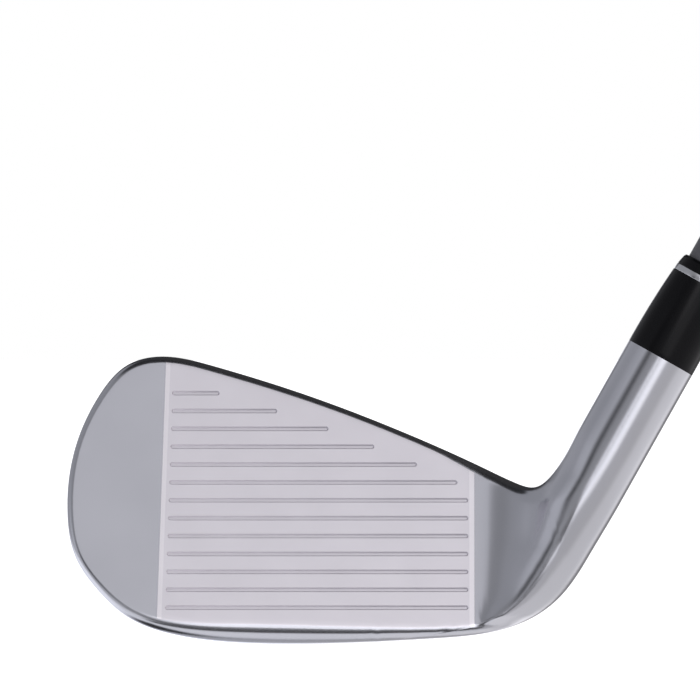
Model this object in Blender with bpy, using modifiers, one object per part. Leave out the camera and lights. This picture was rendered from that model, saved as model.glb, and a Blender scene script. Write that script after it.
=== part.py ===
"""Long iron golf club, soled at address.

+Z is up, +X runs from the toe towards the player's hands and -Y is the way the ball leaves.
The origin is the point of the sole that rests on the ground, below the middle of the face.
The head is one chrome-plated steel forging with a cavity back, and the other pieces are
the damper and badge in the cavity, a toe weight, the ferrule, the shaft and the grip.
"""

import math

import bmesh
import bpy
import numpy as np
from mathutils import Matrix, Vector

MM = 0.001

# Driving dimensions
LIE = math.radians(60.6)
LOFT = math.radians(21.0)
CLUB_LENGTH = 978 * MM  # along the shaft axis, from the ground to the end of the grip
HOSEL_TOP = 60.9 * MM  # along the shaft axis, from the ground
HOSEL_R = 6.7 * MM
SHAFT_TIP_R = 4.7 * MM  # a 0.370 inch parallel tip
SHAFT_BUTT_R = 7.62 * MM  # a 0.600 inch butt
AXIS_X = 40.2 * MM  # where the shaft axis meets the ground
AXIS_Y = -1.1 * MM
HOSEL_FRONT = (AXIS_Y - HOSEL_R) / MM
FACE_Y = -7.3 * MM  # where the face plane meets the ground
CLEARANCE = 0.15 * MM  # glue line between the shaft and what it goes into
SEAM = 0.1 * MM  # between pieces that sit against each other
ROUND_STEPS = 48

AXIS = Vector((math.cos(LIE), 0, math.sin(LIE)))
ACROSS = Vector((math.sin(LIE), 0, -math.cos(LIE)))
FACE_TO_ROW = Matrix.Translation((0, FACE_Y, 0)) @ Matrix.Rotation(math.pi / 2 - LOFT, 4, "X")
SHAFT_TO_ROW = Matrix.Translation((AXIS_X, AXIS_Y, 0)) @ Matrix.Rotation(math.pi / 2 - LIE, 4, "Y")

# Outline of the head seen from the front, as X and Z in millimetres. Both lines start at the toe.
TOE = (-39.8, 26.0)
TOP_LINE = [TOE, (-38.3, 36.6), (-34.0, 46.0), (-28.5, 51.85), (-22.2, 53.3), (-13.3, 51.7),
            (4.4, 46.2), (22.2, 39.4), (37.8, 32.45), (43.4, 29.85), (46.8, 29.1), (50.2, 31.7)]
SOLE_LINE = [TOE, (-38.3, 16.2), (-34.2, 10.1), (-28.5, 4.95), (-20.0, 1.75), (-10.5, 0.4),
             (0, 0), (14, 0.25), (28, 1.0), (37.8, 2.0), (45.0, 4.15), (51.2, 8.4), (57.6, 17.6)]
TOP_LINE_MEETS, SOLE_LINE_MEETS = 43.4, 33.3  # the hosel's straight sides, along its axis
FAN_PIVOT = (38.0, 50.0)  # sections of the heel swing round this point
FLAT_FACE_END_X = 35.6
RIDGE_AHEAD = 2.05  # of the hosel's front line, below the hosel
EDGE_BEHIND = 1.8  # from the hosel's front back to the leading edge
TOE_ROUND, TOP_ROUND, TOE_SOLE_ROUND, SOLE_ROUND, HEEL_SOLE_ROUND = 1.3, 2.3, 1.3, 3.0, 1.6
TOP_BACK_ROUND, TRAILING_ROUND = 1.5, 2.2
TOP_THICKNESS, SOLE_THICKNESS = 5.6, 16.0
BACK_LOW, BACK_HIGH = 3.0, 27.0  # heights between which the back thins
SOLE_REST = 3.0  # from the leading edge's round back to the line that rests on the ground
SOLE_CAMBER = 0.009  # rise per square millimetre from that line
SECTION_POINTS = 48

# Score lines
GROOVE_COUNT = 13
GROOVE_PITCH = 3.54 * MM
GROOVE_LOWEST = 7.35 * MM  # up the face
GROOVE_LEFT_LOW, GROOVE_LEFT_HIGH = -21.6 * MM, -20.4 * MM
GROOVE_RIGHT = 34.5 * MM
GROOVE_RIGHT_SHORT = [32.5, 25.0, 17.1, 8.6, -0.9, -11.6]  # upwards, in millimetres
GROOVE_R, GROOVE_DEPTH = 0.45 * MM, 0.4 * MM

# Back cavity: corners of its outline up the face, in millimetres
CAVITY = [(-33.0, 17.6), (-34.8, 28.0), (-33.0, 40.0), (-27.0, 50.6), (-16.5, 51.7),
          (20.0, 38.6), (31.5, 32.6), (31.5, 17.6)]
CAVITY_CORNER_R = 4.5
FACE_WALL = 3.1 * MM
DAMPER_THICKNESS, BADGE_THICKNESS = 1.2 * MM, 0.9 * MM


def unit(vector):
    return vector / np.linalg.norm(vector)


def smooth(low, high, value):
    """0 below low, 1 above high, with an even curve between."""
    share = np.clip((value - low) / (high - low), 0, 1)
    return share * share * (3 - 2 * share)


def spline(points, start_way, end_way, step=0.4):
    """Points along a cubic spline through the given ones, leaving and arriving the given ways."""
    points = np.array(points, float)
    count = len(points)
    chord = np.linalg.norm(np.diff(points, axis=0), axis=1)
    rows, right = np.zeros((count, count)), np.zeros((count, 2))
    rows[0, 0] = rows[-1, -1] = 1
    right[0], right[-1] = unit(np.array(start_way, float)), unit(np.array(end_way, float))
    for i in range(1, count - 1):
        before, after = chord[i - 1], chord[i]
        rows[i, i - 1:i + 2] = after, 2 * (before + after), before
        right[i] = 3 * (before / after * (points[i + 1] - points[i])
                        + after / before * (points[i] - points[i - 1]))
    slopes = np.linalg.solve(rows, right)
    line = []
    for i, length in enumerate(chord):
        for share in np.arange(0, 1, step / length):
            a, b = 2 * share**3 - 3 * share**2 + 1, share**3 - 2 * share**2 + share
            c, d = 3 * share**2 - 2 * share**3, share**3 - share**2
            line.append(a * points[i] + b * length * slopes[i]
                        + c * points[i + 1] + d * length * slopes[i + 1])
    return np.array(line + [points[-1]])


def distance_to(line, points):
    """Distance from each point to the polyline, and how level the line runs at its nearest place."""
    start, along = line[:-1], np.diff(line, axis=0)
    offset = points[:, None, :] - start[None]
    share = np.clip((offset * along).sum(2) / (along * along).sum(1), 0, 1)
    distance = np.linalg.norm(offset - share[..., None] * along, axis=2)
    nearest = distance.argmin(1)
    level = along[:, 0] / np.linalg.norm(along, axis=1)
    return distance.min(1), level[nearest]


def crossing(line, pivot, way):
    """Where the ray from the pivot meets the polyline."""
    normal = np.array((-way[1], way[0]))
    side = (line - pivot) @ normal
    for i in range(len(line) - 1):
        if side[i] * side[i + 1] <= 0 and side[i] != side[i + 1]:
            point = line[i] + (line[i + 1] - line[i]) * side[i] / (side[i] - side[i + 1])
            if (point - pivot) @ way > 0:
                return point
    raise ValueError("the ray misses the outline")


def rounding(distance, radius, slope=0.0):
    """How far a sheet that falls back by slope inwards drops near an edge with this radius."""
    tilt = np.arctan(slope)
    reach = radius * (1 + np.sin(tilt))
    inside = np.clip(distance, 0, reach)
    arc = np.sqrt(np.maximum(radius**2 - (radius - inside) ** 2, 0))
    return radius * np.cos(tilt) + (reach - inside) * slope - arc


def dropped(sheet, drop, turn):
    """The front with its edges rounded off: the blade's drop is added, and the hosel is round already."""
    added = sheet + drop
    return added + (np.maximum(sheet, HOSEL_FRONT + drop) - added) * turn


def room(sheet, back, front_radius, back_radius, turn):
    """The share of both radii that an edge has room for."""
    shares = np.linspace(1, 0, 2001)
    gap = back - shares * back_radius - dropped(sheet, shares * front_radius, turn)
    return shares[np.argmax(gap >= -1e-6)]


class Head:
    """The head's outer surface as closed sections from the toe round the heel to the hosel's top."""

    def __init__(self):
        axis, across = np.array((AXIS.x, AXIS.z)), np.array((ACROSS.x, ACROSS.z))
        foot = np.array((AXIS_X / MM, 0))
        self.axis, self.foot = axis, foot
        self.hosel_side = HOSEL_R / MM * across
        self.inner = self.edge(TOP_LINE, (0, 1), foot - self.hosel_side, TOP_LINE_MEETS)
        self.outer = self.edge(SOLE_LINE, (0, -1), foot + self.hosel_side, SOLE_LINE_MEETS)

    def edge(self, points, start_way, side_foot, meets):
        """One edge of the front view, from the toe to the top of the hosel's straight side."""
        curve = spline([*points, side_foot + meets * self.axis], start_way, self.axis)
        return np.vstack([curve, side_foot + (HOSEL_TOP / MM + 1) * self.axis])

    def stations(self, toe_steps, blade_steps, fan_steps, hosel_steps):
        """(inner end, outer end, share of the heel's turn) of every section."""
        found = []
        toe_x, bend_x = TOE[0], FAN_PIVOT[0]
        middle_x = -22.0
        near = [toe_x + 0.01 + (middle_x - toe_x) * (k / toe_steps) ** 2 for k in range(toe_steps)]
        far = np.linspace(middle_x, bend_x, blade_steps, endpoint=False)
        down, pivot = np.array((0.0, -1.0)), np.array(FAN_PIVOT)
        for x in [*near, *far]:
            above = np.array((x, 26.0))
            found.append((crossing(self.inner, above, -down), crossing(self.outer, above, down), 0.0))
        for share in np.linspace(0, 1, fan_steps):
            angle = share * LIE
            way = np.array((math.sin(angle), -math.cos(angle)))
            found.append((crossing(self.inner, pivot, way), crossing(self.outer, pivot, way), share))
        reach = (pivot - self.foot) @ self.axis
        for along in np.linspace(reach, HOSEL_TOP / MM, hosel_steps + 1)[1:]:
            centre = self.foot + along * self.axis
            found.append((centre - self.hosel_side, centre + self.hosel_side, 1.0))
        return found

    def radii(self, x, share):
        """Edge radii of a section: front inner, front outer, back inner, back outer."""
        hosel = HOSEL_R / MM
        crotch = smooth(0.0, 0.75, share)
        heel = smooth(-0.12, 0.42, share)
        sole = TOE_SOLE_ROUND + (SOLE_ROUND - TOE_SOLE_ROUND) * smooth(-36, -4, x)
        sole = sole + (HEEL_SOLE_ROUND - SOLE_ROUND) * smooth(-2, 38, x)
        top = TOE_ROUND + (TOP_ROUND - TOE_ROUND) * smooth(-39, -26, x)
        top = top - 0.35 * smooth(-15, 22, x) + 1.2 * smooth(27, 38, x)
        heel_start = smooth(-0.12, 0.42, 0.0)
        heel = (heel - heel_start) / (1 - heel_start)
        return (top + (hosel - top) * crotch, sole + (hosel - sole) * heel,
                TOP_BACK_ROUND + (hosel - TOP_BACK_ROUND) * crotch,
                TRAILING_ROUND + (hosel - TRAILING_ROUND) * heel)

    def plane(self, z):
        return FACE_Y / MM + z * math.tan(LOFT)

    def front_sheet(self, points):
        """The face plane, which turns forward into the hosel's front through a hollow arc and a round one."""
        x, z = points[:, 0], points[:, 1]
        plane = self.plane(z)
        ridge_x = self.foot[0] + z * self.axis[0] / self.axis[1] + RIDGE_AHEAD * (1 - smooth(18, 31, z))
        ridge_x = ridge_x - 5.0 * np.exp((4.7 - z) / 2.6)
        ridge_y = HOSEL_FRONT + EDGE_BEHIND * np.clip(1 - z / 27.0, 0, 1) ** 2
        wide = np.maximum((ridge_x - FLAT_FACE_END_X) * ACROSS.x, 0.3)
        deep = np.maximum((plane - ridge_y) * smooth(0.0, 5.0, wide), 0.02)
        both = (wide**2 + deep**2) / (2 * deep)  # the two arcs' radii together
        outer = np.minimum(HOSEL_R / MM, 0.5 * both)
        hollow = both - outer
        to_ridge = np.clip((ridge_x - x) * ACROSS.x, 0, wide)
        rounded = outer - np.sqrt(np.maximum(outer**2 - to_ridge**2, 0))
        hollowed = deep - hollow + np.sqrt(np.maximum(hollow**2 - (wide - to_ridge) ** 2, 0))
        return plane - deep + np.where(to_ridge < outer * wide / both, rounded, hollowed)

    def back_sheet(self, points, share):
        """The back before the cavity: thin at the top line, thick behind the sole."""
        x, z = points[:, 0], points[:, 1]
        hosel_back = (AXIS_Y + HOSEL_R) / MM
        sole = SOLE_THICKNESS - 5.0 * smooth(4, 42, -x)
        thickness = TOP_THICKNESS + (sole - TOP_THICKNESS) * (1 - smooth(BACK_LOW, BACK_HIGH, z))
        blade = self.plane(z) + thickness / math.cos(LOFT)
        return hosel_back + (blade - hosel_back) * (1 - smooth(0.0, 0.95, share))

    def sides(self, inner, outer, share, samples=140):
        """A section's front and back as X, Y, Z rows, each from the inner end to the outer end."""
        shares = (1 - np.cos(np.linspace(0, math.pi, samples))) / 2
        points = inner + shares[:, None] * (outer - inner)
        to_inner, top_level = distance_to(self.inner, points)
        to_outer, sole_level = distance_to(self.outer, points)
        to_inner[0] = to_outer[-1] = 0
        turn = smooth(0.1, 1.0, share)
        loft = math.tan(LOFT) * (1 - turn)
        front, back = self.front_sheet(points), self.back_sheet(points, share)
        front_in, front_out, back_in, back_out = self.radii(inner[0], share)
        room_in = room(front[0], back[0], front_in, back_in, turn)
        room_out = room(front[-1], back[-1], front_out, back_out, turn)
        drop = np.maximum(rounding(to_inner, front_in * room_in, -top_level * loft),
                          rounding(to_outer, front_out * room_out, sole_level * loft))
        front = dropped(front, drop, turn)
        back = back - np.maximum(rounding(to_inner, back_in * room_in),
                                 rounding(to_outer, back_out * room_out))
        return (np.column_stack([points[:, 0], y, points[:, 1]]) for y in (front, back))

    def section(self, inner, outer, share, count):
        """The section's closed outline as count points, starting at its inner end."""
        front, back = self.sides(inner, outer, share)
        back = back[::-1]
        under = (front[-1] + back[0]) / 2
        over = (back[-1] + front[0]) / 2
        blade = 1 - smooth(0.1, 0.8, share)
        sole_start = front[-1][1]
        loops = []
        for half, slope in ((np.vstack([over, front, under]), math.tan(LOFT)),
                            (np.vstack([under, back, over]), 0)):
            y, z = half[:, 1], half[:, 2]
            behind = np.maximum(y - front[0][1], 0)
            square = blade * smooth(8, 26, z) * behind * math.tan(LOFT)
            from_rest = np.maximum(y, sole_start) - (sole_start + SOLE_REST)
            lift = SOLE_CAMBER * blade * from_rest**2 * np.exp(-np.maximum(z - outer[1], 0) / 6)
            shaped = np.column_stack([half[:, 0], y + slope * lift, z + lift - square])
            loops.append(resampled(shaped, count // 2))
        return np.vstack(loops) * MM


def resampled(line, count):
    """count points along a polyline without its last, closer together where it bends."""
    apart = np.linalg.norm(np.diff(line, axis=0), axis=1) > 0.01
    line = line[np.concatenate([[True], apart])]
    steps = np.diff(line, axis=0)
    length = np.linalg.norm(steps, axis=1)
    ways = steps / length[:, None]
    bend = np.arccos(np.clip((ways[:-1] * ways[1:]).sum(1), -1, 1))
    weight = length / length.sum()
    weight[:-1] += bend / (2 * math.pi)
    weight[1:] += bend / (2 * math.pi)
    reach = np.concatenate([[0], np.cumsum(weight)])
    wanted = np.arange(count) / count * reach[-1]
    return np.column_stack([np.interp(wanted, reach, line[:, k]) for k in range(3)])


def lofted(name, rings):
    """A closed mesh through the rings, with an end face on the first and the last."""
    bm = bmesh.new()
    loops = [[bm.verts.new(co) for co in ring] for ring in rings]
    for a, b in zip(loops, loops[1:]):
        for i in range(len(a)):
            j = (i + 1) % len(a)
            bm.faces.new((a[i], a[j], b[j], b[i]))
    bm.faces.new(loops[0][::-1])
    bm.faces.new(loops[-1])
    bmesh.ops.dissolve_limit(bm, angle_limit=math.radians(0.05), verts=bm.verts, edges=bm.edges)
    bmesh.ops.recalc_face_normals(bm, faces=bm.faces)
    mesh = bpy.data.meshes.new(name)
    bm.to_mesh(mesh)
    bm.free()
    return mesh


def new_collection(name):
    collection = bpy.data.collections.new(name)
    bpy.context.scene.collection.children.link(collection)
    return collection


def place(name, data, collection, matrix, material=None):
    obj = bpy.data.objects.new(name, data)
    collection.objects.link(obj)
    obj.matrix_world = matrix
    if material:
        data.materials.append(material)
    return obj


def material(name, color, metallic, roughness):
    made = bpy.data.materials.new(name)
    made.use_nodes = True
    shader = made.node_tree.nodes["Principled BSDF"]
    shader.inputs["Base Color"].default_value = (*color, 1)
    shader.inputs["Metallic"].default_value = metallic
    shader.inputs["Roughness"].default_value = roughness
    return made


def cylinder_mesh(name, radius, low, high, steps=ROUND_STEPS):
    """A cylinder about Z from low to high."""
    bm = bmesh.new()
    bmesh.ops.create_cone(bm, cap_ends=True, segments=steps, radius1=radius, radius2=radius,
                          depth=high - low, matrix=Matrix.Translation((0, 0, (low + high) / 2)))
    mesh = bpy.data.meshes.new(name)
    bm.to_mesh(mesh)
    bm.free()
    return mesh


def turned(name, profile, collection, finish):
    """A piece of revolution about the shaft axis. The profile runs down its outer side, then up its bore."""
    mesh = bpy.data.meshes.new(name)
    points = [(radius, 0, along) for radius, along in profile]
    edges = [(i, (i + 1) % len(points)) for i in range(len(points))]
    if profile[0][0] == 0:
        edges.pop()
    mesh.from_pydata(points, edges, [])
    obj = place(name, mesh, collection, SHAFT_TO_ROW, finish)
    screw = obj.modifiers.new("Turn", "SCREW")
    screw.steps = screw.render_steps = ROUND_STEPS
    screw.use_merge_vertices = True
    screw.merge_threshold = 1e-6
    screw.use_smooth_shade = True
    return obj


def rounded_outline(corners, radius, inset=0.0, arc_steps=5):
    """The polygon moved inwards by inset, with its corners rounded, as points in metres."""
    points = [Vector(c) for c in corners]
    count = len(points)
    area = sum(points[i - 1].x * points[i].y - points[i].x * points[i - 1].y for i in range(count))
    inward = 1 if area > 0 else -1
    lines = []
    for i in range(count):
        way = (points[(i + 1) % count] - points[i]).normalized()
        normal = Vector((-way.y, way.x)) * inward
        lines.append((points[i] + normal * inset, way))
    moved = []
    for i in range(count):
        (p, u), (q, v) = lines[i - 1], lines[i]
        share = (q - p).cross(v) / u.cross(v)
        moved.append(p + u * share)
    outline = []
    for i in range(count):
        before, corner, after = moved[i - 1], moved[i], moved[(i + 1) % count]
        to_before, to_after = (before - corner).normalized(), (after - corner).normalized()
        half = to_before.angle(to_after) / 2
        fillet = max(radius - inset, 0.5)
        reach = min(fillet / math.tan(half), 0.45 * (before - corner).length,
                    0.45 * (after - corner).length)
        start, end = corner + to_before * reach, corner + to_after * reach
        for k in range(arc_steps + 1):
            share = k / arc_steps
            outline.append((start.lerp(corner, share)).lerp(corner.lerp(end, share), share) * MM)
    return outline


def plate(name, outline, near, far, collection, finish=None):
    """A flat piece parallel to the face, between two depths behind it."""
    curve = bpy.data.curves.new(name, "CURVE")
    curve.dimensions = "2D"
    curve.fill_mode = "BOTH"
    curve.extrude = (far - near) / 2
    line = curve.splines.new("POLY")
    line.points.add(len(outline) - 1)
    for point, co in zip(line.points, outline):
        point.co = (co.x, co.y, 0, 1)
    line.use_cyclic_u = True
    matrix = FACE_TO_ROW @ Matrix.Translation((0, 0, -(near + far) / 2))
    source = place(name + "_outline", curve, collection, matrix)
    bpy.context.view_layer.update()
    solid = bpy.data.meshes.new_from_object(source.evaluated_get(bpy.context.evaluated_depsgraph_get()))
    bpy.data.objects.remove(source)
    bm = bmesh.new()
    bm.from_mesh(solid)
    bmesh.ops.remove_doubles(bm, verts=bm.verts, dist=1e-6)
    bmesh.ops.recalc_face_normals(bm, faces=bm.faces)
    bm.to_mesh(solid)
    bm.free()
    return place(name, solid, collection, matrix, finish)


def hide_cutter(obj):
    obj.hide_render = True
    obj.display_type = "WIRE"


def cut(target, cutter):
    hide_cutter(cutter)
    boolean = target.modifiers.new("Cut " + cutter.name, "BOOLEAN")
    boolean.operation = "DIFFERENCE"
    boolean.object = cutter


def groove_cutter(collection):
    """All the score lines as one mesh of round bars that dip into the face."""
    bm = bmesh.new()
    turn = Matrix.Rotation(math.pi / 2, 4, "Y")
    for i in range(GROOVE_COUNT):
        up = GROOVE_LOWEST + i * GROOVE_PITCH
        share = i / (GROOVE_COUNT - 1)
        left = GROOVE_LEFT_LOW + (GROOVE_LEFT_HIGH - GROOVE_LEFT_LOW) * share
        short = i - (GROOVE_COUNT - len(GROOVE_RIGHT_SHORT))
        right = GROOVE_RIGHT if short < 0 else GROOVE_RIGHT_SHORT[short] * MM
        centre = Vector(((left + right) / 2, up, GROOVE_R - GROOVE_DEPTH))
        bmesh.ops.create_cone(bm, cap_ends=True, segments=8, radius1=GROOVE_R, radius2=GROOVE_R,
                              depth=right - left, matrix=Matrix.Translation(centre) @ turn)
    mesh = bpy.data.meshes.new("groove_bars")
    bm.to_mesh(mesh)
    bm.free()
    return place("groove_bars", mesh, collection, FACE_TO_ROW)


def build_head(parts, cutters, finish):
    head = Head()
    rings = [head.section(inner, outer, share, SECTION_POINTS)
             for inner, outer, share in head.stations(9, 9, 13, 1)]
    obj = place("head", lofted("head", rings), parts, Matrix.Identity(4), finish)
    bore = cylinder_mesh("hosel_bore", SHAFT_TIP_R + CLEARANCE, BORE_BOTTOM, HOSEL_TOP + 5 * MM)
    cut(obj, place("hosel_bore", bore, cutters, SHAFT_TO_ROW))
    cavity = rounded_outline(CAVITY, CAVITY_CORNER_R)
    cut(obj, plate("cavity", cavity, FACE_WALL, 30 * MM, cutters))
    cut(obj, toe_weight_pocket(cutters))
    cut(obj, groove_cutter(cutters))
    obj.data.shade_smooth()
    obj.data.set_sharp_from_angle(angle=math.radians(30))
    return obj


# Toe weight: a tungsten plug let into the back of the sole bar, square to the face
WEIGHT_X, WEIGHT_UP = -19.0 * MM, 13.0 * MM
WEIGHT_R = 3.1 * MM
WEIGHT_DEEP, WEIGHT_BACK = 5.5 * MM, 12.4 * MM


def weight_matrix():
    return FACE_TO_ROW @ Matrix.Translation((WEIGHT_X, WEIGHT_UP, 0))


def toe_weight_pocket(cutters):
    mesh = cylinder_mesh("weight_pocket", WEIGHT_R + CLEARANCE, -30 * MM, -WEIGHT_DEEP, 32)
    return place("weight_pocket", mesh, cutters, weight_matrix())


def build_cavity_pieces(parts, finishes):
    """The damper on the cavity's floor and the badge on the damper."""
    depth = FACE_WALL + SEAM
    for name, inset, thickness in (("cavity_damper", 0.5, DAMPER_THICKNESS),
                                   ("cavity_badge", 1.6, BADGE_THICKNESS)):
        outline = rounded_outline(CAVITY, CAVITY_CORNER_R, inset)
        plate(name, outline, depth, depth + thickness, parts, finishes[name])
        depth += thickness + SEAM


# Along the shaft axis, from the ground
PLUG_FLANGE = 1.2 * MM
SHAFT_TIP = HOSEL_TOP - 31.5 * MM
BORE_BOTTOM = SHAFT_TIP - PLUG_FLANGE - 2 * SEAM - 0.3 * MM
TIP_PARALLEL_END = SHAFT_TIP + 110 * MM
BUTT_PARALLEL_START = 760 * MM
CAP_THICKNESS = 4.0 * MM
GRIP_LENGTH = 266 * MM
SHAFT_BUTT = CLUB_LENGTH - CAP_THICKNESS - SEAM
GRIP_MOUTH = SHAFT_BUTT - GRIP_LENGTH
TIP_BORE_R = 2.7 * MM
BUTT_BORE_R = 6.35 * MM


def shaft_radius(along):
    share = (along - TIP_PARALLEL_END) / (BUTT_PARALLEL_START - TIP_PARALLEL_END)
    return SHAFT_TIP_R + (SHAFT_BUTT_R - SHAFT_TIP_R) * min(max(share, 0), 1)


def ferrule_radius(up):
    return HOSEL_R - 0.77 * MM * (up / (16.7 * MM)) ** 2.2


def build_ferrule(parts, finishes):
    """Black sleeve on the hosel, a silver ring and a black cap, all slid over the shaft."""
    bore = SHAFT_TIP_R + CLEARANCE
    base = HOSEL_TOP + SEAM
    ring, cap, top = base + 15.7 * MM, base + 16.9 * MM, base + 19.1 * MM
    side = [(ferrule_radius(up * MM), base + up * MM) for up in (15.7, 13, 10, 6.5, 0)]
    turned("ferrule_sleeve", [*side, (bore, base), (bore, ring)], parts, finishes["ferrule_black"])
    turned("ferrule_ring", [(ferrule_radius(cap - base), cap), (ferrule_radius(ring - base), ring + SEAM),
                            (bore, ring + SEAM), (bore, cap)], parts, finishes["ferrule_silver"])
    turned("ferrule_cap", [(5.05 * MM, top), (5.3 * MM, top - 0.15 * MM), (5.52 * MM, top - 0.55 * MM),
                           (ferrule_radius(cap - base), cap + SEAM), (bore, cap + SEAM),
                           (bore, top)], parts, finishes["ferrule_black"])


def build_shaft(parts, finishes):
    turned("shaft", [(SHAFT_BUTT_R, SHAFT_BUTT), (SHAFT_BUTT_R, BUTT_PARALLEL_START),
                     (SHAFT_TIP_R, TIP_PARALLEL_END), (SHAFT_TIP_R, SHAFT_TIP),
                     (TIP_BORE_R, SHAFT_TIP), (TIP_BORE_R, TIP_PARALLEL_END),
                     (BUTT_BORE_R, BUTT_PARALLEL_START), (BUTT_BORE_R, SHAFT_BUTT)], parts,
           finishes["shaft"])
    flange_top = SHAFT_TIP - SEAM
    pin_r = TIP_BORE_R - CLEARANCE
    turned("tip_weight", [(0, SHAFT_TIP + 14 * MM), (pin_r, SHAFT_TIP + 14 * MM), (pin_r, flange_top),
                          (SHAFT_TIP_R - 0.2 * MM, flange_top),
                          (SHAFT_TIP_R - 0.2 * MM, flange_top - PLUG_FLANGE),
                          (0, flange_top - PLUG_FLANGE)], parts, finishes["tip_weight"])
    low, high, film = 628 * MM, 686 * MM, 0.15 * MM
    turned("shaft_band", [(shaft_radius(high) + SEAM + film, high), (shaft_radius(low) + SEAM + film, low),
                          (shaft_radius(low) + SEAM, low), (shaft_radius(high) + SEAM, high)], parts,
           finishes["shaft_band"])


def build_grip(parts, finishes):
    """Double-sided tape round the shaft, the rubber sleeve over it and the butt cap."""
    tape_in, tape_out = SHAFT_BUTT_R + SEAM, SHAFT_BUTT_R + SEAM + 0.3 * MM
    tape_end = BUTT_PARALLEL_START + 4 * MM
    turned("grip_tape", [(tape_out, SHAFT_BUTT - 3 * MM), (tape_out, tape_end), (tape_in, tape_end),
                         (tape_in, SHAFT_BUTT - 3 * MM)], parts, finishes["grip_tape"])
    bore = tape_out + SEAM
    outer = [(13.2, 0), (13.35, 3), (12.9, 9), (12.2, 28), (11.7, 60), (11.2, 120), (10.6, 190),
             (9.9, 245), (9.6, 262), (9.2, 265.2)]
    profile = [(radius * MM, SHAFT_BUTT - down * MM) for radius, down in outer]
    turned("grip_sleeve", [*profile, (bore, GRIP_MOUTH), (bore, SHAFT_BUTT)], parts,
           finishes["grip_rubber"])
    vent = 1.75 * MM
    low, high = SHAFT_BUTT + SEAM, CLUB_LENGTH
    turned("grip_cap", [(11.2 * MM, high), (12.4 * MM, high - 0.5 * MM), (13.1 * MM, high - 1.6 * MM),
                        (13.2 * MM, low), (vent, low), (vent, high)], parts, finishes["grip_rubber"])


def main():
    for obj in list(bpy.data.objects):
        bpy.data.objects.remove(obj)
    parts, cutters = new_collection("Iron golf club"), new_collection("Cutters")
    finishes = {
        "head": material("Satin chrome plated steel", (0.55, 0.55, 0.58), 1.0, 0.3),
        "toe_weight": material("Tungsten alloy", (0.3, 0.3, 0.31), 1.0, 0.4),
        "cavity_damper": material("Black elastomer", (0.02, 0.02, 0.02), 0.0, 0.7),
        "cavity_badge": material("Anodised aluminium", (0.25, 0.25, 0.27), 1.0, 0.35),
        "ferrule_black": material("Black ferrule plastic", (0.005, 0.005, 0.006), 0.0, 0.15),
        "ferrule_silver": material("Silver ferrule ring", (0.6, 0.6, 0.62), 1.0, 0.2),
        "shaft": material("Satin grey graphite", (0.08, 0.08, 0.085), 0.0, 0.4),
        "tip_weight": material("Brass", (0.6, 0.45, 0.2), 1.0, 0.3),
        "shaft_band": material("Printed film", (0.4, 0.4, 0.42), 0.0, 0.25),
        "grip_tape": material("Paper tape", (0.6, 0.55, 0.42), 0.0, 0.9),
        "grip_rubber": material("Black grip rubber", (0.015, 0.015, 0.015), 0.0, 0.8),
    }
    build_head(parts, cutters, finishes["head"])
    plug = cylinder_mesh("toe_weight", WEIGHT_R, -WEIGHT_BACK, -WEIGHT_DEEP - SEAM, 32)
    place("toe_weight", plug, parts, weight_matrix(), finishes["toe_weight"])
    build_cavity_pieces(parts, finishes)
    build_ferrule(parts, finishes)
    build_shaft(parts, finishes)
    build_grip(parts, finishes)


main()
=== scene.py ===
import math

import bmesh
import bpy
import numpy as np
from mathutils import Matrix, Vector


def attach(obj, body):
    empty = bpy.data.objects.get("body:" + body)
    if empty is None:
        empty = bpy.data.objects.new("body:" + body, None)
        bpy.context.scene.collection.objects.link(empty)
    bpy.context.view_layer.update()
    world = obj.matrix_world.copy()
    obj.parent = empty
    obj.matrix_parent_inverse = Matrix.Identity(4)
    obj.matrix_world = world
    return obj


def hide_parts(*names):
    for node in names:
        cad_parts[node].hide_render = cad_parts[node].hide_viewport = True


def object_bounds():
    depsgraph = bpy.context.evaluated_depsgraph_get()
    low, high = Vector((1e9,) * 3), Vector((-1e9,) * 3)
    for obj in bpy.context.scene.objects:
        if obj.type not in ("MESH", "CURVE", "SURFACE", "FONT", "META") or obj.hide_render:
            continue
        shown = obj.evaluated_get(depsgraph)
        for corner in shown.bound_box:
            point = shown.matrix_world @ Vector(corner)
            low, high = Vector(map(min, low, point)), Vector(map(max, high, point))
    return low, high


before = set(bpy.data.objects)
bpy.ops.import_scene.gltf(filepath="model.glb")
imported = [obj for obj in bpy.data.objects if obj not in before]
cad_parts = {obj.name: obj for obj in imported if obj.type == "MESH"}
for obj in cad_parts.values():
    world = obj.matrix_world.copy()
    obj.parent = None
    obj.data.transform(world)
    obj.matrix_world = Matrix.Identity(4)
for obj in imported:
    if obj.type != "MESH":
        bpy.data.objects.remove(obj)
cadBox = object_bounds()
mm = 0.001

# The club at address, in millimetres and degrees. +X runs from the toe to the hands, -Y is the face.
club = {
    "lie": 60.6,
    "loft": 21.0,
    "length": 978.0,  # along the shaft axis, from the ground
    "hoselTop": 60.9,
    "hoselR": 6.7,
    "tipR": 4.7,
    "buttR": 7.62,
    "axisX": 40.2,  # where the shaft axis meets the ground
    "axisY": -1.1,
    "faceY": -7.3,  # where the face plane meets the ground
    "seam": 0.1,  # between pieces that sit against each other
    "glue": 0.15,
}
lie = math.radians(club["lie"])
loft = math.radians(club["loft"])
axis = np.array((math.cos(lie), math.sin(lie)))  # in X and Z
across = np.array((math.sin(lie), -math.cos(lie)))
foot = np.array((club["axisX"], 0.0))
toMetres = Matrix.Scale(mm, 4)
faceToRow = Matrix.Translation((0, club["faceY"], 0)) @ Matrix.Rotation(math.pi / 2 - loft, 4, "X")
shaftToRow = (Matrix.Translation((club["axisX"], club["axisY"], 0))
              @ Matrix.Rotation(math.pi / 2 - lie, 4, "Y"))


# Materials

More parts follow.
